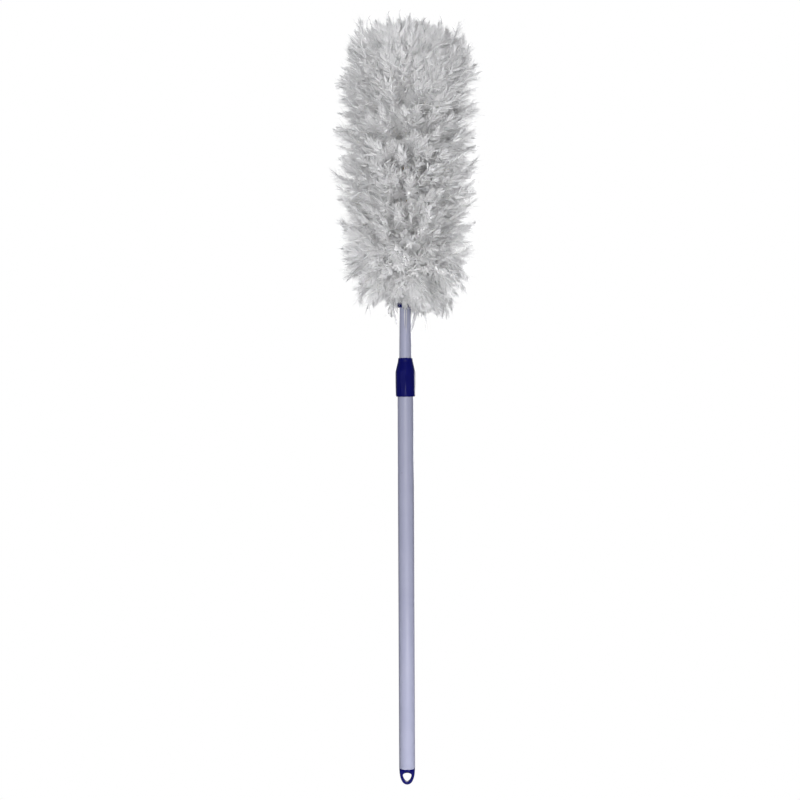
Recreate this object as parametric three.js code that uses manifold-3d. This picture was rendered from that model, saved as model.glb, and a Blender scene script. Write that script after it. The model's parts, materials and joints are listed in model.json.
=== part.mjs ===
// Feather duster on a telescopic twist-lock pole.
// Millimetres, +Z up along the pole. Heights are measured up from the tip of the hanging cap,
// and the whole object is lowered at the end so that the origin is in the middle of the hand grip.

import * as THREE from "three";
import { mergeVertices } from "three/addons/utils/BufferGeometryUtils.js";
import Module from "manifold-3d";

const wasm = await Module();
wasm.setup();

// ---- driving dimensions -------------------------------------------------------------------

const gap = 0.3; // between pieces that touch or slide on each other
const roundSides = 40; // sides of a turned piece

const gripHeight = 190; // middle of the hand grip above the cap's tip

const cap = {
  height: 26,
  flangeRadius: 12.3,
  flangeThickness: 3,
  spigotLength: 20,
  spigotWall: 2,
  tabHalfWidth: 12.2,
  tabThickness: 7.6,
  tabEdgeRounding: 1,
  eyeHalfWidth: 6.8,
  eyeBottom: 4,
  eyeMiddle: 14.5,
  eyeTop: 18.4,
};

const outer = { radius: 12.5, wall: 0.6, top: 625 };
const outerBore = outer.radius - outer.wall;

const inner = {
  radius: 9.75,
  wall: 0.6,
  tipRadius: 8.3,
  bottom: cap.height + cap.spigotLength + gap + 3,
  taperStart: 662,
  top: 776,
};

const thread = { pitch: 4, height: 0.9, root: 1.8, crest: 0.8, turns: 3 };

const sleeve = {
  bottom: 600,
  flangeTop: outer.top + 3,
  threadStart: 632,
  seatStart: 644,
  top: 649,
  seatRadius: 11.3,
  bodyRadius: 11.9,
};
const sleeveBore = inner.radius + gap;

const collar = {
  bottom: 607.3,
  top: 667.6,
  bottomRadius: 15.2,
  shoulderRadius: 15.7,
  shoulder: 641,
  coneTop: 662,
  coneTopRadius: 11.8,
  topRadius: 10.6,
  gripFlats: 12,
  gripFlatDistance: 15, // from the axis to each grip flat
  threadStart: 634,
  boreRadius: sleeve.bodyRadius + thread.height + 0.45,
  lipRadius: inner.radius + 0.5,
};

const clamp = {
  bottom: sleeve.top - 2,
  shoulder: sleeve.top + 0.4,
  coneStart: sleeve.top + 2,
  top: sleeve.top + 8.5,
  shoulderRadius: 11.7,
  topRadius: 10.8,
  slot: 1.6,
};

const bush = { length: 24, beadHeight: 3, beadRadius: 10.9 };

const ferrule = {
  bottom: 746,
  shoulder: 786,
  top: 798,
  radius: 12,
  neckRadius: 8.2,
  webBottom: 777,
  webTop: 780,
};

const core = { radius: 6, top: 1096, buttonTop: 1105, buttonRadius: 8.5 };

const head = {
  tiers: 10,
  feathersPerTier: 12,
  firstTie: 823, // where the lowest tier is tied to the core
  lastTie: 1070,
  lowestTip: 742,
  highestTip: 1186,
  envelopeBottom: 732, // the feather tips lie on a rounded barrel between these heights
  envelopeTop: 1199,
  lowerRadius: 108,
  upperRadius: 124,
  tieLength: 9,
  quillThickness: 2.8,
  tipThickness: 1.4,
  cupDepth: 8, // how far a feather's middle stands above its edges at the tip
  notchDepth: 0.2, // how much shorter a tier is between two feathers
  stepsAcross: 4,
  stepsAlong: 3,
  tieWireRadius: 0.9,
};

// ---- colours ------------------------------------------------------------------------------

const finishes = {
  tubePaint: { color: "#9a9db2", roughness: 0.38, metalness: 0.25 },
  navyPlastic: { color: "#0b0e46", roughness: 0.42, metalness: 0 },
  blackPlastic: { color: "#26272b", roughness: 0.5, metalness: 0 },
  whitePlastic: { color: "#d9d9d6", roughness: 0.5, metalness: 0 },
  wood: { color: "#c9a878", roughness: 0.7, metalness: 0 },
  wire: { color: "#a8a9ad", roughness: 0.35, metalness: 0.9 },
  feather: { color: "#e4e4e2", roughness: 0.9, metalness: 0 },
};

// ---- shape helpers ------------------------------------------------------------------------

// Turns a closed outline round the pole's axis. Its points are [radius, height], and they run
// up the outside and down the inside.
function turned(outline, sides = roundSides) {
  const points = [...outline, outline[0]].map(([radius, height]) => new THREE.Vector2(radius, height));
  return new THREE.LatheGeometry(points, sides).rotateX(Math.PI / 2);
}

// An outline in X and Z pushed through in Y, with its middle on the pole's axis.
function pushedThrough(shape, thickness, rounding, curveSegments) {
  const geometry = new THREE.ExtrudeGeometry(shape, {
    depth: thickness - 2 * rounding,
    bevelEnabled: rounding > 0,
    bevelThickness: rounding,
    bevelSize: rounding,
    bevelOffset: -rounding,
    bevelSegments: 3,
    curveSegments,
  });
  geometry.translate(0, 0, rounding - thickness / 2);
  return geometry.rotateX(Math.PI / 2);
}

// A closed surface from a grid of points that wraps round in both directions.
function wrappedGrid(rows) {
  const columns = rows[0].length;
  const index = (row, column) => (row % rows.length) * columns + (column % columns);
  const faces = [];
  for (let row = 0; row < rows.length; row += 1) {
    for (let column = 0; column < columns; column += 1) {
      const a = index(row, column);
      const b = index(row, column + 1);
      const c = index(row + 1, column + 1);
      const d = index(row + 1, column);
      faces.push(a, b, c, a, c, d);
    }
  }
  const geometry = new THREE.BufferGeometry();
  geometry.setAttribute("position", new THREE.Float32BufferAttribute(rows.flat(2), 3));
  geometry.setIndex(faces);
  return geometry;
}

// One helical ridge, from a root radius to a crest radius. crestRadius is the larger one on a
// screw and the smaller one in a nut.
function helicalRidge(rootRadius, crestRadius, startHeight, turns) {
  const stepsPerTurn = 24;
  const steps = turns * stepsPerTurn;
  const section = [
    [rootRadius, -thread.root / 2],
    [crestRadius, -thread.crest / 2],
    [crestRadius, thread.crest / 2],
    [rootRadius, thread.root / 2],
  ];
  if (crestRadius < rootRadius) {
    section.reverse();
  }
  const positions = [];
  const faces = [];
  for (let step = 0; step <= steps; step += 1) {
    const angle = (step / stepsPerTurn) * 2 * Math.PI;
    const height = startHeight + (step / stepsPerTurn) * thread.pitch;
    for (const [radius, offset] of section) {
      positions.push(radius * Math.cos(angle), radius * Math.sin(angle), height + offset);
    }
  }
  for (let step = 0; step < steps; step += 1) {
    for (let corner = 0; corner < 4; corner += 1) {
      const a = step * 4 + corner;
      const b = step * 4 + ((corner + 1) % 4);
      faces.push(a, a + 4, b, b, a + 4, b + 4);
    }
  }
  const last = steps * 4;
  faces.push(0, 1, 2, 0, 2, 3);
  faces.push(last, last + 2, last + 1, last, last + 3, last + 2);
  const geometry = new THREE.BufferGeometry();
  geometry.setAttribute("position", new THREE.Float32BufferAttribute(positions, 3));
  geometry.setIndex(faces);
  return geometry;
}

function solid(geometry) {
  const bare = geometry.clone();
  bare.deleteAttribute("normal");
  bare.deleteAttribute("uv");
  const merged = mergeVertices(bare, 1e-4);
  return new wasm.Manifold(
    new wasm.Mesh({
      numProp: 3,
      vertProperties: new Float32Array(merged.attributes.position.array),
      triVerts: new Uint32Array(merged.index.array),
    }),
  );
}

function geometryOf(manifold) {
  const mesh = manifold.getMesh();
  const geometry = new THREE.BufferGeometry();
  geometry.setAttribute("position", new THREE.BufferAttribute(mesh.vertProperties, 3));
  geometry.setIndex(new THREE.BufferAttribute(mesh.triVerts, 1));
  return geometry;
}

function piece(name, geometry, finish) {
  const mesh = new THREE.Mesh(geometry, new THREE.MeshStandardMaterial(finish));
  mesh.name = name;
  return mesh;
}

// ---- outer pole ---------------------------------------------------------------------------

// The teardrop eye, drawn clockwise from its left side.
function eyeOutline() {
  const eye = new THREE.Path();
  const fullness = 0.55; // makes a quarter round of the two upper curves
  const { eyeHalfWidth: half, eyeMiddle: middle, eyeTop: top, eyeBottom: bottom } = cap;
  eye.moveTo(-half, middle);
  eye.bezierCurveTo(-half, middle + fullness * (top - middle), -half * fullness, top, 0, top);
  eye.bezierCurveTo(half * fullness, top, half, middle + fullness * (top - middle), half, middle);
  eye.bezierCurveTo(half, middle - 5, half * 0.5, bottom, 0, bottom);
  eye.bezierCurveTo(-half * 0.5, bottom, -half, middle - 5, -half, middle);
  return eye;
}

function hangingCap() {
  const tab = new THREE.Shape();
  const half = cap.tabHalfWidth;
  tab.moveTo(-half, cap.height - 0.5);
  const upperPull = cap.height / 2;
  const lowerPull = 0.75 * half; // gives the tab its broad round end
  tab.bezierCurveTo(-half, upperPull, -lowerPull, 0, 0, 0);
  tab.bezierCurveTo(lowerPull, 0, half, upperPull, half, cap.height - 0.5);
  tab.holes.push(eyeOutline());
  const spigotRadius = outerBore - gap;
  const flangeBottom = cap.height - cap.flangeThickness;
  const spigotTop = cap.height + cap.spigotLength;
  const plug = turned([
    [0, cap.eyeTop + 0.3],
    [cap.tabThickness / 2, cap.eyeTop + 0.3],
    [cap.flangeRadius, flangeBottom],
    [cap.flangeRadius, cap.height],
    [spigotRadius, cap.height],
    [spigotRadius, spigotTop - 1],
    [spigotRadius - 0.8, spigotTop],
    [spigotRadius - cap.spigotWall, spigotTop],
    [spigotRadius - cap.spigotWall, cap.height],
    [0, cap.height],
  ]);
  const loop = pushedThrough(tab, cap.tabThickness, cap.tabEdgeRounding, 10);
  return piece("hanging_cap", geometryOf(solid(loop).add(solid(plug))), finishes.navyPlastic);
}

function outerTube() {
  const bottom = cap.height + gap;
  const wall = turned([
    [outerBore, bottom],
    [outer.radius, bottom],
    [outer.radius, outer.top],
    [outerBore, outer.top],
  ]);
  return piece("outer_tube", wall, finishes.tubePaint);
}

function threadedSleeve() {
  const spigotRadius = outerBore - gap;
  const seatTop = sleeve.seatRadius;
  const body = turned([
    [sleeveBore, sleeve.bottom],
    [spigotRadius, sleeve.bottom],
    [spigotRadius, outer.top + gap],
    [outer.radius, outer.top + gap],
    [outer.radius, sleeve.flangeTop],
    [sleeve.bodyRadius, sleeve.flangeTop],
    [sleeve.bodyRadius, sleeve.top],
    [seatTop, sleeve.top],
    [sleeveBore, sleeve.seatStart],
  ]);
  const rootRadius = sleeve.bodyRadius - 0.3; // sunk into the body, so that the two join
  const crestRadius = sleeve.bodyRadius + thread.height;
  const ridge = helicalRidge(rootRadius, crestRadius, sleeve.threadStart, thread.turns);
  return piece("threaded_sleeve", geometryOf(solid(body).add(solid(ridge))), finishes.blackPlastic);
}

// ---- twist lock ---------------------------------------------------------------------------

// A split ring with a cone at each end. The lower cone sits in the sleeve and the upper one in
// the collar, a steady gap away from each.
function clampRing() {
  const seatSlope = (sleeve.seatRadius - sleeveBore) / (sleeve.top - sleeve.seatStart);
  const seatRadius = (height) => sleeveBore + seatSlope * (height - sleeve.seatStart);
  const ring = turned([
    [sleeveBore, clamp.bottom],
    [seatRadius(clamp.bottom) - 0.35, clamp.bottom],
    [seatRadius(clamp.shoulder) - 0.35, clamp.shoulder],
    [clamp.shoulderRadius, clamp.shoulder],
    [clamp.shoulderRadius, clamp.coneStart],
    [clamp.topRadius, clamp.top],
    [sleeveBore, clamp.top],
  ]);
  const length = clamp.top - clamp.bottom + 2;
  const slot = new THREE.BoxGeometry(clamp.slot, outer.radius, length);
  slot.translate(0, outer.radius / 2, (clamp.top + clamp.bottom) / 2);
  return piece("clamp_ring", geometryOf(solid(ring).subtract(solid(slot))), finishes.whitePlastic);
}

// The outside of the collar: a slightly flared grip, a round shoulder, a cone and a rounded lip.
function collarOutside() {
  const path = new THREE.Path();
  path.moveTo(collar.bottomRadius - 1.6, collar.bottom);
  path.quadraticCurveTo(collar.bottomRadius, collar.bottom, collar.bottomRadius, collar.bottom + 3);
  path.lineTo(collar.shoulderRadius, collar.shoulder);
  path.quadraticCurveTo(collar.shoulderRadius, 647, 14.2, 652);
  path.lineTo(collar.coneTopRadius, collar.coneTop);
  path.quadraticCurveTo(11.4, collar.top, collar.topRadius, collar.top);
  return path.getPoints(4).map((point) => [point.x, point.y]);
}

function twistCollar() {
  const sides = 60;
  const coneClearance = 0.35;
  const shell = turned(
    [
      [collar.boreRadius, collar.bottom],
      ...collarOutside(),
      [collar.lipRadius, collar.top],
      [collar.lipRadius, clamp.top + 2.4],
      [clamp.topRadius + coneClearance, clamp.top + 0.3],
      [clamp.shoulderRadius + coneClearance, clamp.coneStart],
      [collar.boreRadius, clamp.shoulder],
    ],
    sides,
  );
  // the flats come from a prism that is wider than the cone, so each one ends in an arch
  const cornerRadius = collar.gripFlatDistance / Math.cos(Math.PI / collar.gripFlats);
  const length = collar.top - collar.bottom + 2;
  const prism = new THREE.CylinderGeometry(cornerRadius, cornerRadius, length, collar.gripFlats);
  prism.rotateX(Math.PI / 2);
  prism.translate(0, 0, (collar.top + collar.bottom) / 2);
  const rootRadius = collar.boreRadius + 0.3; // sunk into the wall, so that the two join
  const crestRadius = sleeve.bodyRadius + 0.35;
  const ridge = helicalRidge(rootRadius, crestRadius, collar.threadStart, thread.turns - 1);
  const grip = solid(shell).intersect(solid(prism)).add(solid(ridge));
  return piece("twist_collar", geometryOf(grip), finishes.navyPlastic);
}

// ---- inner pole ---------------------------------------------------------------------------

// The tube has a rolled bead that keeps the glide bush on, and a swaged end for the head.
function innerTube() {
  const beadBottom = inner.bottom + bush.length;
  const beadTop = beadBottom + bush.beadHeight;
  const bore = inner.radius - inner.wall;
  const wall = turned([
    [bore, inner.bottom],
    [inner.radius, inner.bottom],
    [inner.radius, beadBottom],
    [bush.beadRadius, beadBottom + 1],
    [bush.beadRadius, beadTop - 1],
    [inner.radius, beadTop],
    [inner.radius, inner.taperStart],
    [inner.tipRadius, inner.top],
    [inner.tipRadius - inner.wall, inner.top],
    [bore, inner.taperStart],
  ]);
  return piece("inner_tube", wall, finishes.tubePaint);
}

function glideBush() {
  const bottom = inner.bottom + gap;
  const top = inner.bottom + bush.length - gap;
  const slide = outerBore - gap;
  const ring = turned([
    [sleeveBore, bottom],
    [slide - 0.5, bottom],
    [slide, bottom + 1],
    [slide, bottom + 7],
    [slide - 0.7, bottom + 8],
    [slide - 0.7, top - 8],
    [slide, top - 7],
    [slide, top - 1],
    [slide - 0.5, top],
    [sleeveBore, top],
  ]);
  return piece("glide_bush", ring, finishes.whitePlastic);
}

function innerEndPlug() {
  const flangeBottom = inner.bottom - gap - 2.7;
  const flangeTop = inner.bottom - gap;
  const spigotRadius = inner.radius - inner.wall - gap;
  const spigotTop = inner.bottom + 16;
  const plug = turned([
    [0, flangeBottom],
    [outerBore - 1.2, flangeBottom],
    [outerBore - 0.7, flangeBottom + 0.6],
    [outerBore - 0.7, flangeTop],
    [spigotRadius, flangeTop],
    [spigotRadius, spigotTop],
    [spigotRadius - 2, spigotTop],
    [spigotRadius - 2, flangeTop],
    [0, flangeTop],
  ]);
  return piece("inner_end_plug", plug, finishes.blackPlastic);
}

// ---- head ---------------------------------------------------------------------------------

// A socket for the pole below and one for the core above, with a web between them.
function headFerrule() {
  const taper = (inner.radius - inner.tipRadius) / (inner.top - inner.taperStart);
  const mouthRadius = inner.tipRadius + taper * (inner.top - ferrule.bottom) + gap;
  const coreSocket = core.radius + gap;
  const body = turned([
    [mouthRadius, ferrule.bottom],
    [ferrule.radius - 1.2, ferrule.bottom],
    [ferrule.radius, ferrule.bottom + 3],
    [ferrule.radius, ferrule.shoulder],
    [ferrule.neckRadius, ferrule.top - 3],
    [ferrule.neckRadius, ferrule.top],
    [coreSocket, ferrule.top],
    [coreSocket, ferrule.webTop],
    [0, ferrule.webTop],
    [0, ferrule.webBottom],
    [inner.tipRadius + gap, ferrule.webBottom],
  ]);
  return piece("head_ferrule", body, finishes.navyPlastic);
}

function coreRod() {
  const bottom = ferrule.webTop + gap;
  const rod = turned(
    [
      [0, bottom],
      [core.radius, bottom],
      [core.radius, core.top],
      [0, core.top],
    ],
    24,
  );
  return piece("core_rod", rod, finishes.wood);
}

// A round button whose skirt reaches down over the end of the rod.
function coreButton() {
  const skirtBottom = core.top - 8;
  const button = turned(
    [
      [core.radius + gap, skirtBottom],
      [core.buttonRadius, skirtBottom],
      [core.buttonRadius, core.top + 2],
      [core.buttonRadius * 0.85, core.top + 6],
      [core.buttonRadius * 0.45, core.buttonTop],
      [0, core.buttonTop + 0.6],
      [0, core.top + gap],
      [core.radius + gap, core.top + gap],
    ],
    24,
  );
  return piece("core_button", button, finishes.navyPlastic);
}

// Where a tier is tied and where its tips reach. Tier 0 is the lowest.
function tierPlace(tier) {
  const share = tier / (head.tiers - 1);
  const tie = THREE.MathUtils.lerp(head.firstTie, head.lastTie, share);
  const tip = THREE.MathUtils.lerp(head.lowestTip, head.highestTip, share);
  const middle = (head.envelopeTop + head.envelopeBottom) / 2;
  const halfHeight = (head.envelopeTop - head.envelopeBottom) / 2;
  const away = Math.abs(tip - middle) / halfHeight;
  const reach = THREE.MathUtils.lerp(head.lowerRadius, head.upperRadius, share);
  const tipRadius = reach * (1 - away ** 4) ** 0.25;
  const upOrDown = tip < tie ? -1 : 1;
  return { tie, tip, tipRadius, upOrDown };
}

// The middle line of a tier's feathers from quill to tip, as radius and height.
function featherLine({ tie, tip, tipRadius, upOrDown }) {
  const quill = core.radius + gap + head.quillThickness / 2;
  const bend = tie + upOrDown * head.tieLength;
  const curve = new THREE.CubicBezierCurve(
    new THREE.Vector2(quill, bend),
    new THREE.Vector2(quill, bend + upOrDown * 14),
    new THREE.Vector2(tipRadius * 0.6, THREE.MathUtils.lerp(bend, tip, 0.75)),
    new THREE.Vector2(tipRadius, tip),
  );
  return { start: new THREE.Vector2(quill, tie), curve };
}

// One ring of overlapping feathers, as a pleated skirt: each pleat is a cupped feather, longer
// in its middle than at its edges.
function featherTier(tier) {
  const place = tierPlace(tier);
  const { start, curve } = featherLine(place);
  const columns = head.feathersPerTier * head.stepsAcross;
  const turn = (tier % 2) * (Math.PI / head.feathersPerTier); // alternate tiers are staggered
  const outsideRows = [];
  const insideRows = [];
  for (let along = 0; along <= head.stepsAlong + 1; along += 1) {
    const outside = [];
    const inside = [];
    for (let column = 0; column < columns; column += 1) {
      const angle = (column / columns) * 2 * Math.PI + turn;
      const pleat = Math.cos((column / head.stepsAcross) * 2 * Math.PI);
      const full = Math.max(along - 1, 0) / head.stepsAlong;
      const reach = full * (1 - (head.notchDepth * (1 - pleat)) / 2);
      const middle = along === 0 ? start : curve.getPoint(reach);
      const tangent = along === 0 ? new THREE.Vector2(0, place.upOrDown) : curve.getTangent(reach);
      const normal = new THREE.Vector2(-tangent.y, tangent.x).multiplyScalar(place.upOrDown);
      const half = THREE.MathUtils.lerp(head.quillThickness, head.tipThickness, full) / 2;
      const cup = head.cupDepth * full * pleat;
      const upper = middle.clone().addScaledVector(normal, cup + half);
      const lower = middle.clone().addScaledVector(normal, cup - half);
      inside.push([upper.x * Math.cos(angle), upper.x * Math.sin(angle), upper.y]);
      outside.push([lower.x * Math.cos(angle), lower.x * Math.sin(angle), lower.y]);
    }
    outsideRows.push(outside);
    insideRows.push(inside);
  }
  const rows = [...outsideRows, ...insideRows.reverse()];
  if (place.upOrDown < 0) {
    rows.reverse();
  }
  const name = `feather_tier_${String(tier + 1).padStart(2, "0")}`;
  return piece(name, wrappedGrid(rows), finishes.feather);
}

// A turn of wire round a tier's quills.
function tie(tier) {
  const place = tierPlace(tier);
  const quillOutside = core.radius + gap + head.quillThickness;
  const radius = quillOutside + gap + head.tieWireRadius;
  const ring = new THREE.TorusGeometry(radius, head.tieWireRadius, 5, 20);
  ring.translate(0, 0, place.tie + place.upOrDown * (head.tieLength / 2));
  const name = `tie_${String(tier + 1).padStart(2, "0")}`;
  return piece(name, ring, finishes.wire);
}

// ---- assembly -----------------------------------------------------------------------------

const duster = new THREE.Group();
duster.add(hangingCap(), outerTube(), threadedSleeve());
duster.add(clampRing(), twistCollar());
duster.add(innerTube(), glideBush(), innerEndPlug());
duster.add(headFerrule(), coreRod(), coreButton());
for (let tier = 0; tier < head.tiers; tier += 1) {
  duster.add(featherTier(tier), tie(tier));
}
duster.position.z = -gripHeight;

const part = new THREE.Group();
part.add(duster);

export default part;
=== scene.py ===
"""Looks of the feather duster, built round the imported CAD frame. Metres, +Z up, front is -Y."""

import json
import math

import bpy
import numpy as np
from mathutils import Euler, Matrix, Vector


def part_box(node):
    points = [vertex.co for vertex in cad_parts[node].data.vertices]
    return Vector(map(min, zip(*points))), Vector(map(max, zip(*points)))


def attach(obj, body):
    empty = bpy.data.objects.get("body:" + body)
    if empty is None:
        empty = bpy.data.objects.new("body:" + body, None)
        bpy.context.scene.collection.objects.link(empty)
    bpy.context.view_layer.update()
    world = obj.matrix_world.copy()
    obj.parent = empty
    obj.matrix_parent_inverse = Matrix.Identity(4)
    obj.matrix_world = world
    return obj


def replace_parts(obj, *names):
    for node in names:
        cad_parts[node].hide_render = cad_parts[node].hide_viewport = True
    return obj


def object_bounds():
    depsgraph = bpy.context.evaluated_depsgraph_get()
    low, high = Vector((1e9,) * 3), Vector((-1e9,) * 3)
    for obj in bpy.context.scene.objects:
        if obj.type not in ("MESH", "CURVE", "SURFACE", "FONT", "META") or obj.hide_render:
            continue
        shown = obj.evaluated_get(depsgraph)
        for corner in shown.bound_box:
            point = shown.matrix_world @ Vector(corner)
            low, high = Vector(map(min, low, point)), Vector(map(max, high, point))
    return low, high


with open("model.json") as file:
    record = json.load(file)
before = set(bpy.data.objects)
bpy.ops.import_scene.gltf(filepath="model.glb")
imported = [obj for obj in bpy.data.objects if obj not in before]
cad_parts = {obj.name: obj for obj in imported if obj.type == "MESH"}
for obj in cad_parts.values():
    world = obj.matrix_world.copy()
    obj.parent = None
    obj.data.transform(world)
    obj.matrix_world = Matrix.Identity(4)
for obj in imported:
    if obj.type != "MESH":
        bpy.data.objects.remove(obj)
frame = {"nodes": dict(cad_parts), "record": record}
cad_low, cad_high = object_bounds()

# ---- places worked out from the frame -------------------------------------------------------

CAP_TIP = cad_low[2]
TIER_NAMES = sorted(name for name in frame["nodes"] if name.startswith("feather_tier_"))
TIE_NAMES = sorted(name for name in frame["nodes"] if name.startswith("tie_"))
CORE_LOW, CORE_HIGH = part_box("core_rod")
CORE_RADIUS = (CORE_HIGH[0] - CORE_LOW[0]) / 2
HEAD_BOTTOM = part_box(TIER_NAMES[0])[0][2]
HEAD_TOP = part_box(TIER_NAMES[-1])[1][2]


# ---- camera, light and floor ----------------------------------------------------------------

# How strong the world's light is from the sides, and from straight above and below
SIDE_LIGHT = 0.75
TOP_LIGHT = 0.2


def make_camera():
    """Level with the upper half of the duster, a little to its left, tipped slightly down and
    rolled a quarter degree."""
    data = bpy.data.cameras.new("camera")
    data.sensor_width = 36.0
    data.lens = 50.4
    camera = bpy.data.objects.new("camera", data)
    bpy.context.scene.collection.objects.link(camera)
    camera.location = (-0.0086, -1.748, CAP_TIP + 0.625)
    camera.rotation_euler = Euler((math.radians(89.25), math.radians(0.25), 0.0))
    bpy.context.scene.camera = camera


def area_light(name, place, target, size, power, spread=180):
    """A square soft light. spread is the whole angle, in degrees, that it shines into."""
    data = bpy.data.lights.new(name, "AREA")
    data.size = size
    data.energy = power
    data.spread = math.radians(spread)
    light = bpy.data.objects.new(name, data)
    bpy.context.scene.collection.objects.link(light)
    light.location = place
    light.rotation_euler = (Vector(target) - Vector(place)).to_track_quat("-Z", "Y").to_euler()


def make_lights():
    """A soft key behind the camera aimed at the head, a soft lamp low in front that brightens the
    lower pole, and a soft one behind for the far side."""
    area_light("key", (-0.12, -2.1, CAP_TIP + 0.6), (0, 0, CAP_TIP + 0.87), 0.8, 8.4, 64)
    area_light("low", (0.17, -0.8, CAP_TIP + 0.06), (0, 0, CAP_TIP - 0.12), 0.16, 2.7, 92)
    area_light("back", (0.4, 2.2, CAP_TIP + 1.1), (0, 0, CAP_TIP + 0.7), 1.6, 72)


def make_world():
    """White behind the object, and on it a dimmer light that comes mostly from the sides, so that
    the head's top and bottom fall off a little."""
    world = bpy.data.worlds.new("studio")
    bpy.context.scene.world = world
    world.use_nodes = True
    nodes, links = world.node_tree.nodes, world.node_tree.links
    nodes.clear()
    path = nodes.new("ShaderNodeLightPath")
    split = nodes.new("ShaderNodeSeparateXYZ")
    links.new(nodes.new("ShaderNodeTexCoord").outputs["Generated"], split.inputs[0])
    steep = nodes.new("ShaderNodeMath")
    steep.operation = "ABSOLUTE"
    links.new(split.outputs["Z"], steep.inputs[0])
    light = nodes.new("ShaderNodeBackground")
    light.inputs["Color"].default_value = (0.96, 0.97, 1.0, 1)
    strength = between(nodes, links, steep.outputs[0], 0.1, 0.9, SIDE_LIGHT, TOP_LIGHT)
    links.new(strength, light.inputs["Strength"])
    shown = nodes.new("ShaderNodeBackground")
    shown.inputs["Color"].default_value = (1, 1, 1, 1)
    mix = nodes.new("ShaderNodeMixShader")
    output = nodes.new("ShaderNodeOutputWorld")
    links.new(path.outputs["Is Camera Ray"], mix.inputs[0])
    links.new(light.outputs[0], mix.inputs[1])
    links.new(shown.outputs[0], mix.inputs[2])
    links.new(mix.outputs[0], output.inputs["Surface"])


def make_floor():
    """A wide pale floor a little below the cap, because the duster is held and not stood."""
    half = 14.0
    height = CAP_TIP - 0.04
    corners = [(x, y, height) for x, y in ((-half, -half), (half, -half), (half, half), (-half, half))]
    mesh = bpy.data.meshes.new("floor")
    mesh.from_pydata(corners, [], [(0, 1, 2, 3)])
    floor = bpy.data.objects.new("floor", mesh)
    bpy.context.scene.collection.objects.link(floor)
    material = bpy.data.materials.new("floor")
    material.use_nodes = True
    nodes, links = material.node_tree.nodes, material.node_tree.links
    nodes.clear()
    path = nodes.new("ShaderNodeLightPath")
    matt = nodes.new("ShaderNodeBsdfDiffuse")
    matt.inputs["Color"].default_value = (0.4, 0.4, 0.4, 1)
    glow = nodes.new("ShaderNodeEmission")
    glow.inputs["Strength"].default_value = 1.0
    mix = nodes.new("ShaderNodeMixShader")
    output = nodes.new("ShaderNodeOutputMaterial")
    links.new(path.outputs["Is Camera Ray"], mix.inputs[0])
    links.new(matt.outputs[0], mix.inputs[1])
    links.new(glow.outputs[0], mix.inputs[2])
    links.new(mix.outputs[0], output.inputs["Surface"])
    mesh.materials.append(material)


# ---- materials ------------------------------------------------------------------------------

def new_material(name):
    material = bpy.data.materials.new(name)
    material.use_nodes = True
    nodes, links = material.node_tree.nodes, material.node_tree.links
    return material, nodes, links, nodes["Principled BSDF"]


def noise(nodes, links, scale, detail, coordinates):
    texture = nodes.new("ShaderNodeTexNoise")
    texture.inputs["Scale"].default_value = scale
    texture.inputs["Detail"].default_value = detail
    links.new(coordinates, texture.inputs["Vector"])
    return texture.outputs["Fac"]


def object_place(nodes):
    return nodes.new("ShaderNodeTexCoord").outputs["Object"]


def between(nodes, links, value, low, high, out_low, out_high):
    """value, rescaled so that low to high becomes out_low to out_high."""
    remap = nodes.new("ShaderNodeMapRange")
    remap.inputs["From Min"].default_value = low
    remap.inputs["From Max"].default_value = high
    remap.inputs["To Min"].default_value = out_low
    remap.inputs["To Max"].default_value = out_high
    links.new(value, remap.inputs["Value"])
    return remap.outputs["Result"]


def mixed_colour(nodes, links, share, first, second):
    """A mix of two colours, each a tuple or another node's output."""
    mix = nodes.new("ShaderNodeMix")
    mix.data_type = "RGBA"
    links.new(share, mix.inputs["Factor"])
    for socket, colour in ((mix.inputs["A"], first), (mix.inputs["B"], second)):
        if isinstance(colour, tuple):
            socket.default_value = (*colour, 1)
        else:
            links.new(colour, socket)
    return mix.outputs["Result"]


def bump(nodes, links, shader, height, strength, distance):
    node = nodes.new("ShaderNodeBump")
    node.inputs["Strength"].default_value = strength
    node.inputs["Distance"].default_value = distance
    links.new(height, node.inputs["Height"])
    links.new(node.outputs["Normal"], shader.inputs["Normal"])


def tube_paint():
    """Satin grey paint with a lavender tint: faint orange peel, rub marks and a few dark specks."""
    material, nodes, links, shader = new_material("tube_paint")
    place = object_place(nodes)
    cloud = between(nodes, links, noise(nodes, links, 14, 4, place), 0.35, 0.65, 0, 1)
    paint = mixed_colour(nodes, links, cloud, (0.2, 0.206, 0.278), (0.218, 0.224, 0.296))
    speck = between(nodes, links, noise(nodes, links, 260, 1, place), 0.79, 0.81, 0, 1)
    links.new(mixed_colour(nodes, links, speck, paint, (0.1, 0.1, 0.12)), shader.inputs["Base Color"])
    rub = between(nodes, links, noise(nodes, links, 45, 5, place), 0.3, 0.7, 0.28, 0.38)
    links.new(rub, shader.inputs["Roughness"])
    bump(nodes, links, shader, noise(nodes, links, 700, 2, place), 0.12, 0.0004)
    shader.inputs["Specular IOR Level"].default_value = 0.1
    return material


def navy_plastic():
    """Moulded polypropylene with a fine grain and slightly rubbed, paler patches."""
    material, nodes, links, shader = new_material("navy_plastic")
    place = object_place(nodes)
    cloud = between(nodes, links, noise(nodes, links, 60, 4, place), 0.35, 0.7, 0, 1)
    colour = mixed_colour(nodes, links, cloud, (0.001, 0.0015, 0.055), (0.0015, 0.002, 0.065))
    links.new(colour, shader.inputs["Base Color"])
    rub = between(nodes, links, noise(nodes, links, 90, 5, place), 0.3, 0.7, 0.32, 0.45)
    links.new(rub, shader.inputs["Roughness"])
    bump(nodes, links, shader, noise(nodes, links, 1400, 2, place), 0.15, 0.0002)
    shader.inputs["Specular IOR Level"].default_value = 0.05
    return material


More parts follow.
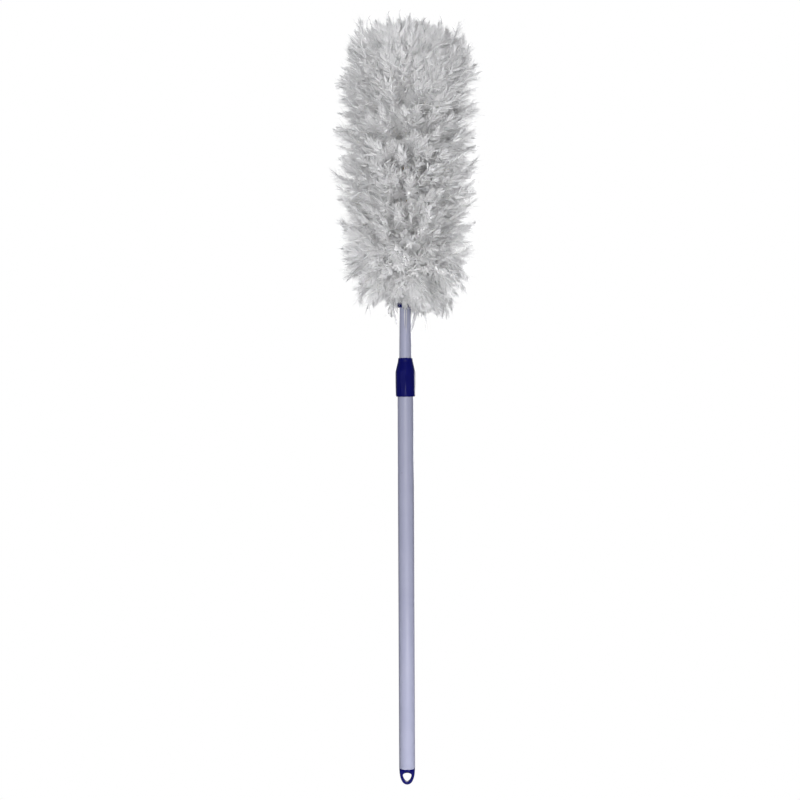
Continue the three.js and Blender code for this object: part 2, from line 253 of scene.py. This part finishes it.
def plain_plastic(name, dark, light):
    """Moulded plastic of the inner fittings."""
    material, nodes, links, shader = new_material(name)
    place = object_place(nodes)
    cloud = between(nodes, links, noise(nodes, links, 80, 4, place), 0.3, 0.7, 0, 1)
    links.new(mixed_colour(nodes, links, cloud, dark, light), shader.inputs["Base Color"])
    rub = between(nodes, links, noise(nodes, links, 120, 4, place), 0.3, 0.7, 0.38, 0.55)
    links.new(rub, shader.inputs["Roughness"])
    bump(nodes, links, shader, noise(nodes, links, 1200, 2, place), 0.12, 0.0002)
    return material


def core_wood():
    """Turned beech with grain along the rod."""
    material, nodes, links, shader = new_material("core_wood")
    stretch = nodes.new("ShaderNodeMapping")
    stretch.inputs["Scale"].default_value = (1, 1, 0.06)
    links.new(object_place(nodes), stretch.inputs["Vector"])
    grain = noise(nodes, links, 420, 6, stretch.outputs["Vector"])
    share = between(nodes, links, grain, 0.35, 0.7, 0, 1)
    colour = mixed_colour(nodes, links, share, (0.62, 0.43, 0.24), (0.4, 0.25, 0.12))
    links.new(colour, shader.inputs["Base Color"])
    shader.inputs["Roughness"].default_value = 0.6
    bump(nodes, links, shader, grain, 0.2, 0.0003)
    return material


def tie_wire():
    """Galvanised wire, a little uneven in its grey and its shine."""
    material, nodes, links, shader = new_material("tie_wire")
    place = object_place(nodes)
    cloud = between(nodes, links, noise(nodes, links, 300, 3, place), 0.3, 0.7, 0, 1)
    colour = mixed_colour(nodes, links, cloud, (0.5, 0.5, 0.52), (0.36, 0.36, 0.38))
    links.new(colour, shader.inputs["Base Color"])
    shader.inputs["Metallic"].default_value = 0.9
    links.new(between(nodes, links, cloud, 0, 1, 0.3, 0.5), shader.inputs["Roughness"])
    return material


def feather_material(name, pale, shaded):
    """Soft barbs. The shade attribute runs from 0, pale, through 0.7, shaded, to 1, straw. Between
    pale and shaded lies each feather's own tone and the painted shade at the barbs' ends.
    """
    material, nodes, links, shader = new_material(name)
    shade = nodes.new("ShaderNodeAttribute")
    shade.attribute_name = "shade"
    # Towards shaded: each feather's own tone, and the painted shade that greys the barbs' ends.
    tone_and_painted_shade = between(nodes, links, shade.outputs["Fac"], 0, 0.7, 0, 1)
    strawness = between(nodes, links, shade.outputs["Fac"], 0.8, 1, 0, 1)
    barb = mixed_colour(nodes, links, tone_and_painted_shade, pale, shaded)
    colour = mixed_colour(nodes, links, strawness, barb, (0.82, 0.78, 0.62))
    links.new(colour, shader.inputs["Base Color"])
    shader.inputs["Roughness"].default_value = 0.75
    shader.inputs["Specular IOR Level"].default_value = 0.25
    shader.inputs["Subsurface Weight"].default_value = 0.9
    shader.inputs["Subsurface Radius"].default_value = (1, 1, 1)
    shader.inputs["Subsurface Scale"].default_value = 0.004
    return material


def dress_cad_nodes():
    """Gives every carried-over CAD node the material of its slot."""
    finishes = {
        "tube_paint": tube_paint(),
        "navy_plastic": navy_plastic(),
        "black_plastic": plain_plastic("black_plastic", (0.018, 0.018, 0.02), (0.03, 0.03, 0.034)),
        "white_plastic": plain_plastic("white_plastic", (0.66, 0.66, 0.62), (0.74, 0.74, 0.71)),
        "core_wood": core_wood(),
        "tie_wire": tie_wire(),
    }
    for subpart in frame["record"]["subparts"]:
        material = finishes.get(subpart["material_slot"])
        node = frame["nodes"][subpart["node"]]
        if material is not None:
            node.data.materials.clear()
            node.data.materials.append(material)


# ---- strands: thin closed barbs as meshes ---------------------------------------------------

def unit(vectors):
    return vectors / np.maximum(np.linalg.norm(vectors, axis=-1, keepdims=True), 1e-12)


def strand_mesh(lines, across, width, thickness, shade):
    """Three-sided tapered strands. lines is strands x points x 3, across the direction of their
    width, width strands x points, and shade one value for each point. Each strand is closed: a
    small cap at its root, and a single point at its end."""
    strands, points, _ = lines.shape
    along = np.gradient(lines, axis=1)
    across = unit(across - unit(along) * np.sum(across * unit(along), axis=-1, keepdims=True))
    outward = unit(np.cross(along, across))
    half = (width / 2)[..., None]
    left = lines - across * half - outward * half * thickness * 0.5
    right = lines + across * half - outward * half * thickness * 0.5
    ridge = lines + outward * half * thickness
    rings = np.stack([left, ridge, right], axis=2)[:, : points - 1].reshape(strands, -1, 3)
    vertices = np.concatenate([rings, lines[:, -1:, :]], axis=1)
    per_strand = vertices.shape[1]
    shades = np.concatenate([np.repeat(shade[:, : points - 1], 3, axis=1), shade[:, -1:]], axis=1)
    faces = []
    for ring in range(points - 2):
        for corner in range(3):
            a = ring * 3 + corner
            b = ring * 3 + (corner + 1) % 3
            faces += [(a, b, b + 3), (a, b + 3, a + 3)]
    last = (points - 2) * 3
    for corner in range(3):
        faces.append((last + corner, last + (corner + 1) % 3, per_strand - 1))
    faces.append((2, 1, 0))
    faces = np.array(faces)[None] + (np.arange(strands) * per_strand)[:, None, None]
    return vertices.reshape(-1, 3), faces.reshape(-1, 3), shades.reshape(-1)


def joined(parts):
    """One vertex, face and shade array from several."""
    offset, vertices, faces, shades = 0, [], [], []
    for part_vertices, part_faces, part_shades in parts:
        vertices.append(part_vertices)
        faces.append(part_faces + offset)
        shades.append(part_shades)
        offset += len(part_vertices)
    return np.concatenate(vertices), np.concatenate(faces), np.concatenate(shades)


def mesh_object(name, arrays, material):
    """A flat-shaded mesh with a shade at each vertex, which the feather material reads."""
    vertices, faces, shades = arrays
    mesh = bpy.data.meshes.new(name)
    mesh.vertices.add(len(vertices))
    mesh.vertices.foreach_set("co", vertices.astype(np.float32).ravel())
    mesh.loops.add(len(faces) * 3)
    mesh.loops.foreach_set("vertex_index", faces.astype(np.int32).ravel())
    mesh.polygons.add(len(faces))
    mesh.polygons.foreach_set("loop_start", np.arange(0, len(faces) * 3, 3, dtype=np.int32))
    mesh.polygons.foreach_set("use_smooth", np.zeros(len(faces), dtype=bool))
    attribute = mesh.attributes.new("shade", "FLOAT", "POINT")
    attribute.data.foreach_set("value", shades.astype(np.float32))
    mesh.update(calc_edges=True)
    mesh.validate()
    mesh.materials.append(material)
    piece = bpy.data.objects.new(name, mesh)
    bpy.context.scene.collection.objects.link(piece)
    return piece


# ---- feathers -------------------------------------------------------------------------------

BARBS = 46  # on each side of a quill
BARB_POINTS = 4
BARB_WIDTH = 0.0018
CLUMP = 3  # neighbouring barbs that stick together at their ends
CLUMP_PULL = 0.35  # how far they are drawn together there
DOWN = 70  # loose downy barbs all round the quill
DOWN_POINTS = 3
DOWN_WIDTH = 0.0016
TUFT = 10  # short barbs that stand out all round each feather's tip
QUILL_POINTS = 6
TIP_REACH = 0.01  # how far the last barbs reach past a quill's tip
# Painted shade: barbs grey towards their ends, standing in for the light falling off on the head's
# rim.
TIP_PAINTED_SHADE = 0.24  # how much greyer a barb gets from its root to its end
BARB_TAPER = ([0, 0.35, 0.7, 1], [0.7, 1, 0.9, 0.3])  # places along a barb, and its width there

# How the barbs change along the quill: their angle to it in degrees, and their length as a share
# of the feather's half width. Together they give the vane a broad round end.
ALONG_QUILL = [0.15, 0.5, 0.75, 0.9, 1.0]
BARB_ANGLE = [50, 42, 35, 26, 6]
BARB_LENGTH = [0.8, 1.4, 1.3, 0.9, 0.5]


def bezier(corners, share):
    """Points and directions of a cubic curve with four corner points."""
    p0, p1, p2, p3 = (corner[:, None, :] for corner in corners)
    t = share[None, :, None] if share.ndim == 1 else share[..., None]
    s = 1 - t
    points = s**3 * p0 + 3 * s**2 * t * p1 + 3 * s * t**2 * p2 + t**3 * p3
    slopes = 3 * (s**2 * (p1 - p0) + 2 * s * t * (p2 - p1) + t**2 * (p3 - p2))
    return points, unit(slopes)


def turned_about(axis, first, angle):
    """first, which is square to axis, turned about it."""
    return first * np.cos(angle)[..., None] + np.cross(axis, first) * np.sin(angle)[..., None]


def curved_barbs(root, first, second, length, face, width, thickness, shade, lock=None):
    """Barbs that leave along first and end along second. lock is the index of the barb whose end
    each one leans to, so that neighbours gather into a blunt lock."""
    points = shade.shape[-1]
    ramp = np.linspace(0, 1, points)[None, None, :, None]
    lines = root[:, :, None, :] + length[..., None, None] * (
        first[:, :, None, :] * (ramp - ramp**2 / 2) + second[:, :, None, :] * ramp**2 / 2
    )
    if lock is not None:
        pull = CLUMP_PULL * ramp**2
        lines = lines * (1 - pull) + lines[:, lock] * pull
    widths = width * np.interp(np.linspace(0, 1, points), *BARB_TAPER)
    widths = np.broadcast_to(widths, shade.shape)
    across = unit(np.cross(lines[:, :, -1] - lines[:, :, 0], face))
    across = across[:, :, None, :].repeat(points, 2)
    return strand_mesh(
        lines.reshape(-1, points, 3), across.reshape(-1, points, 3), widths.reshape(-1, points),
        thickness, np.clip(shade, 0, 0.75).reshape(-1, points),
    )


def barb_shade(rng, tone, barbs, points, spread):
    """Each feather's own tone, a little different on each barb, with painted shade that greys it
    towards its end.
    """
    painted_tip_shade = TIP_PAINTED_SHADE * np.linspace(0, 1, points) ** 2
    return tone[:, None, None] + painted_tip_shade + rng.normal(0, spread, (len(tone), barbs, 1))


def quills(corners, side):
    """The stems, thick at the root and fine at the tip."""
    count = len(side)
    line, _ = bezier(corners, np.linspace(0, 0.97, QUILL_POINTS))
    width = np.linspace(0.0014, 0.0003, QUILL_POINTS)[None].repeat(count, 0)
    across = side[:, None, :].repeat(QUILL_POINTS, 1)
    return strand_mesh(line, across, width, 1.0, np.ones((count, QUILL_POINTS)))


def vane(rng, corners, side, half_width, tone, hand, fullness):
    """One side of each feather: barbs that gather into locks and fan out round the tip."""
    count = len(half_width)
    barbs = round(BARBS * fullness)
    share = 0.2 + 0.79 * np.linspace(0, 1, barbs)[None] ** 0.8
    share = np.clip(share + rng.normal(0, 0.006, (count, barbs)), 0.15, 0.995)
    root, forward = bezier(corners, share)
    spread = side[:, None, :] - forward * np.sum(side[:, None, :] * forward, -1, keepdims=True)
    spread = unit(spread) * hand
    face = unit(np.cross(forward, spread)) * hand

    clump = (np.arange(barbs) + CLUMP // 2) // CLUMP
    clumps = clump[-1] + 1
    turn = rng.normal(0, math.radians(6), (count, clumps))[:, clump]
    lift = -0.3 + rng.normal(0, 0.2, (count, clumps))[:, clump] + rng.normal(0, 0.06, share.shape)
    stretch = rng.uniform(0.8, 1.12, (count, clumps))[:, clump]

    angle = np.radians(np.interp(share, ALONG_QUILL, BARB_ANGLE))
    angle = angle + turn + rng.normal(0, math.radians(3), share.shape)
    reach = half_width[:, None] * np.interp(share, ALONG_QUILL, BARB_LENGTH)
    length = reach * stretch * rng.uniform(0.85, 1.1, share.shape)

    start = angle + math.radians(8)
    end = angle - math.radians(16)
    first = spread * np.sin(start)[..., None] + forward * np.cos(start)[..., None]
    second = spread * np.sin(end)[..., None] + forward * np.cos(end)[..., None]
    second = second + face * lift[..., None]

    shade = barb_shade(rng, tone, barbs, BARB_POINTS, 0.06)
    lock = np.clip(clump * CLUMP, 0, barbs - 1)
    width = BARB_WIDTH / math.sqrt(fullness)
    return curved_barbs(root, first, second, length, face, width, 0.1, shade, lock)


def round_quill(rng, corners, side, share):
    """Points on the quills, their direction there, and a random direction square to it."""
    root, forward = bezier(corners, share)
    square = unit(np.cross(forward, side[:, None, :]))
    return root, forward, turned_about(forward, square, rng.uniform(0, 2 * math.pi, share.shape))


def down(rng, corners, side, half_width, tone, fullness):
    """Soft loose barbs that stand out all round the quill and fill the space between feathers."""
    barbs = round(DOWN * fullness)
    share = 0.25 + 0.73 * rng.uniform(0, 1, (len(half_width), barbs)) ** 0.7
    root, forward, outward = round_quill(rng, corners, side, share)
    lean = rng.uniform(0.3, 1.3, share.shape)[..., None]
    first = unit(outward + forward * lean)
    second = unit(outward * 0.6 + forward * (lean + 0.5))
    length = half_width[:, None] * rng.uniform(0.5, 1.0, share.shape)
    shade = barb_shade(rng, tone, barbs, DOWN_POINTS, 0.06)
    width = DOWN_WIDTH / math.sqrt(fullness)
    return curved_barbs(root, first, second, length, forward, width, 0.3, shade)


def tuft(rng, corners, side, tone):
    """Short barbs all round each feather's tip, a few of them curled."""
    share = rng.uniform(0.9, 0.99, (len(tone), TUFT))
    root, forward, outward = round_quill(rng, corners, side, share)
    first = unit(forward + outward * 0.6)
    second = unit(forward - outward * rng.uniform(-0.8, 0.8, share.shape)[..., None])
    length = rng.uniform(0.005, 0.013, share.shape)
    shade = barb_shade(rng, tone, TUFT, DOWN_POINTS, 0.08)
    return curved_barbs(root, first, second, length, forward, DOWN_WIDTH, 0.4, shade)


def feathers(rng, corners, side, half_width, tone, fullness):
    """Whole feathers at once. corners are the four corner points of each quill's curve, side the
    direction that its vane spreads in, half_width and tone one value for each feather. Below a
    fullness of 1 a feather has fewer, wider barbs."""
    return joined([
        quills(corners, side),
        vane(rng, corners, side, half_width, tone, -1, fullness),
        vane(rng, corners, side, half_width, tone, 1, fullness),
        down(rng, corners, side, half_width, tone, fullness),
        tuft(rng, corners, side, tone),
    ])


def head_reach(height):
    """Radius of the head's soft outline at a height: a barrel with a rounded crown."""
    above_tip = [0.735, 0.755, 0.775, 0.85, 0.95, 1.09, 1.127, 1.165, 1.185, 1.2]
    radius = [0.066, 0.084, 0.098, 0.104, 0.113, 0.116, 0.108, 0.09, 0.074, 0.03]
    return np.interp(height - CAP_TIP, above_tip, radius)


def head_lean(height):
    """How far the feathers lean to the right of the pole's axis at a height."""
    above_tip = [0.745, 0.8, 1.03, 1.13, 1.2]
    return np.interp(height - CAP_TIP, above_tip, [0.001, 0.004, 0.004, 0.009, 0.012])


def bottom_droop(height):
    """How much lower the head's bottom edge hangs on its right than in its middle."""
    return np.interp(height - CAP_TIP, [0.745, 0.8], [0.014, 0])


def tip_angle(share):
    """How far above level a feather's tip points, from the head's bottom to its top."""
    shares = [0, 0.1, 0.18, 0.3, 0.5, 0.75, 0.85, 1.0]
    degrees = [-72, -42, 0, 32, 35, 22, 45, 80]
    return np.radians(np.interp(share, shares, degrees))


TIP_RUN = 0.045  # how far before its tip a quill starts to point the way its tip does
BEND_SHARE = 0.22  # where a quill bends after its root, as a share of its tip's radius
BEND_RISE = 0.016  # and how far it has risen or dropped there

# How far feathers stray from their places, as standard deviations: the radius as a share, the
# height in metres, and the angles in radians
STRAY_RADIUS = 0.035
STRAY_HEIGHT = 0.011
STRAY_TIP_ANGLE = math.radians(13)
STRAY_TURN = 0.14
STRAY_TWIST = math.radians(24)


def ring_of_feathers(
    rng, root_height, tip_height, tip_radius, count, half_width, wild=1.0, fullness=1.0
):
    """A ring of feathers tied to the core at one height, with their tips near another. wild says
    how much they stray from their places, and fullness how many barbs they have."""
    turn = (np.arange(count) + rng.uniform(-0.3, 0.3, count)) * 2 * math.pi / count
    turn = turn + rng.uniform(0, 2 * math.pi)
    radius = tip_radius * (1 + wild * rng.normal(0, STRAY_RADIUS, count))
    height = tip_height + wild * rng.normal(0, STRAY_HEIGHT, count)
    height = height - bottom_droop(tip_height) * np.cos(turn)
    share = np.clip((height - HEAD_BOTTOM) / (HEAD_TOP - HEAD_BOTTOM), 0, 1)
    angle = tip_angle(share) + wild * rng.normal(0, STRAY_TIP_ANGLE, count)
    radius = radius - TIP_REACH * np.cos(angle)
    height = height - TIP_REACH * np.sin(angle)
    turn_at_tip = turn + wild * rng.normal(0, STRAY_TURN, count)

    def place(around, across, up):
        sideways = across * np.cos(around) + head_lean(up) * np.minimum(1, across / 0.05)
        return np.stack([sideways, across * np.sin(around), up], axis=-1)

    upward = np.sign(height - root_height)
    root = place(turn, np.full(count, CORE_RADIUS + 0.001), np.full(count, root_height))
    bend = place(turn, radius * BEND_SHARE, root_height + upward * BEND_RISE)
    tip = place(turn_at_tip, radius, height)
    before = place(
        turn_at_tip, radius - TIP_RUN * np.cos(angle), height - TIP_RUN * np.sin(angle)
    )
    twist = rng.normal(0, STRAY_TWIST, count)[:, None]
    level = np.stack([-np.sin(turn_at_tip), np.cos(turn_at_tip), np.zeros(count)], axis=-1)
    upright = np.stack([np.zeros(count), np.zeros(count), np.ones(count)], axis=-1)
    side = unit(level * np.cos(twist) + upright * np.sin(twist))
    width = half_width * rng.uniform(0.85, 1.15, count)
    tone = np.clip(rng.normal(0.06, 0.07, count), 0, 0.4)
    return feathers(rng, (root, bend, before, tip), side, width, tone, fullness)


# ---- the head's pieces ----------------------------------------------------------------------

HEAD_BODY = "inner_pole"
LOWEST_RING = HEAD_BOTTOM + 0.012  # where the lowest tier's feather tips are
HIGHEST_RING = HEAD_TOP - 0.038  # and the highest tier's
UNDER = {"wild": 0.6, "fullness": 0.5}  # the hidden feathers are tidier and have fewer barbs
FIRST_TIER_SEED = 100

# Extra rings that close the head at its top and round the ferrule: height above the cap's tip,
# radius, and how many feathers
CROWN = [(1.145, 0.084, 24), (1.16, 0.064, 20), (1.178, 0.046, 18), (1.189, 0.022, 10)]
SKIRT = [(0.748, 0.062, 22), (0.745, 0.043, 20), (0.742, 0.025, 22)]
END_SEED = 14

# Long barbs that hang over the inner tube: the turn and radius each starts at, the turn, radius and
# height above the cap's tip it ends at, and its width. A turn of -90 faces the camera.
HANGING = [
    (200, 0.026, 215, 0.014, 0.714, 0.004),
    (185, 0.022, 200, 0.012, 0.736, 0.0026),
    (-26, 0.028, -48, 0.012, 0.705, 0.0085),
    (-15, 0.016, -20, 0.014, 0.727, 0.0024),
    (-12, 0.03, -10, 0.034, 0.708, 0.003),
    (-95, 0.016, -92, 0.0115, 0.712, 0.0028),
    (-80, 0.016, -84, 0.0115, 0.704, 0.002),
    (100, 0.018, 96, 0.012, 0.715, 0.0024),
    (60, 0.024, 70, 0.016, 0.722, 0.0024),
]
HANG_ROOT = 0.765  # how high above the cap's tip the hanging barbs start
HANG_BEND = 0.744  # and where they turn down
CURLS = 16  # short barbs that stand on the crown
CURL_HEIGHT = 0.022
CURL_WIDTH = 0.002
STRAND_POINTS = 9


def tie_height(tie):
    low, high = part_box(tie)
    return (low[2] + high[2]) / 2


def feather_piece(name, groups, material):
    """One piece made of several groups of strands, which rides with the head."""
    piece = mesh_object(name, joined(groups), material)
    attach(piece, HEAD_BODY)
    return piece


def make_feather_tiers(material):
    """For each CAD tier, a piece of outer feathers in two rings, and a piece of shorter ones under
    them that hides the core. Both are tied where that tier is tied."""
    tip_heights = np.linspace(LOWEST_RING, HIGHEST_RING, len(TIER_NAMES))
    for number, (tier, tie, tip_height) in enumerate(zip(TIER_NAMES, TIE_NAMES, tip_heights)):
        rng = np.random.default_rng(FIRST_TIER_SEED + number)
        reach = float(head_reach(tip_height))
        root = tie_height(tie)
        second_height = min(tip_height + 0.02, HIGHEST_RING)
        rings = [
            ring_of_feathers(rng, root, tip_height, reach, 36, 0.022),
            ring_of_feathers(rng, root, second_height, reach * 0.84, 28, 0.022),
        ]
        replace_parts(feather_piece(f"feathers_{number + 1:02d}", rings, material), tier)
        under = [
            ring_of_feathers(rng, root, tip_height + 0.012, reach * 0.8, 26, 0.024, **UNDER),
            ring_of_feathers(rng, root, tip_height + 0.018, reach * 0.62, 24, 0.026, **UNDER),
        ]
        feather_piece(f"under_feathers_{number + 1:02d}", under, material)


def make_feather_ends(material):
    """The feathers that close the head over its top, and the ones that hang round the ferrule."""
    for name, rows, tie, half_width in (
        ("feathers_crown", CROWN, TIE_NAMES[-1], 0.02),
        ("feathers_skirt", SKIRT, TIE_NAMES[0], 0.015),
    ):
        rng = np.random.default_rng(END_SEED)
        rings = [
            ring_of_feathers(
                rng, tie_height(tie), CAP_TIP + height, radius, count, half_width, wild=0.4
            )
            for height, radius, count in rows
        ]
        feather_piece(name, rings, material)


def loose_strand(start, bend, end, width):
    """One long barb on a smooth curve from start to end, drawn towards bend between them."""
    t = np.linspace(0, 1, STRAND_POINTS)[:, None]
    start, bend, end = (np.array(place) for place in (start, bend, end))
    line = ((1 - t) ** 2 * start + 2 * t * (1 - t) * bend + t**2 * end)[None]
    widths = (width * np.linspace(1, 0.45, STRAND_POINTS))[None]
    across = np.broadcast_to([1.0, 0.2, 0.0], line.shape)
    return strand_mesh(line, across, widths, 0.5, np.full((1, STRAND_POINTS), 0.15))


def round_axis(degrees, radius, height):
    """A place given by its turn round the pole, its radius and its height above the cap's tip."""
    turn = math.radians(degrees)
    return radius * math.cos(turn), radius * math.sin(turn), CAP_TIP + height


def crown_foot(radius):
    """How high above the cap's tip a curl starts, just inside the crown's soft surface."""
    return np.interp(radius, [0.03, 0.065, 0.09], [1.188, 1.174, 1.152]) - 0.008


def make_loose_strands(material):
    """Long barbs that hang from the head over the inner tube, and curls that stand on its crown."""
    rng = np.random.default_rng(7)
    strands = []
    for from_degrees, from_radius, to_degrees, to_radius, to_height, width in HANGING:
        strands.append(loose_strand(
            round_axis(from_degrees, from_radius, HANG_ROOT),
            round_axis(from_degrees, (from_radius + to_radius) / 2, HANG_BEND),
            round_axis(to_degrees, to_radius, to_height),
            width,
        ))
    for turn in np.arange(CURLS) * 360 / CURLS + rng.uniform(-12, 12, CURLS):
        radius = rng.uniform(0.012, 0.085)
        foot = crown_foot(radius)
        bend = round_axis(turn + rng.uniform(-9, 9), radius + 0.004, foot + 0.014)
        end_turn = turn + rng.uniform(-9, 9)
        end = round_axis(end_turn, radius + rng.uniform(-0.006, 0.012), foot + CURL_HEIGHT)
        strands.append(loose_strand(round_axis(turn, radius, foot), bend, end, CURL_WIDTH))
    feather_piece("feather_strands", strands, material)


# ---- the scene ------------------------------------------------------------------------------

make_camera()
make_world()
make_lights()
make_floor()
dress_cad_nodes()
feather_white = feather_material("feather_white", (0.97, 0.966, 0.97), (0.74, 0.737, 0.742))
# Painted shade: the hanging strands and crown curls get a much darker copy of the feather material,
# standing in for the shadow they lie in.
strand_painted_shade = feather_material("strand_painted_shade", (0.4, 0.4, 0.41), (0.3, 0.3, 0.31))
make_feather_tiers(feather_white)
make_feather_ends(feather_white)
make_loose_strands(strand_painted_shade)

bpy.context.scene.view_settings.view_transform = "Standard"
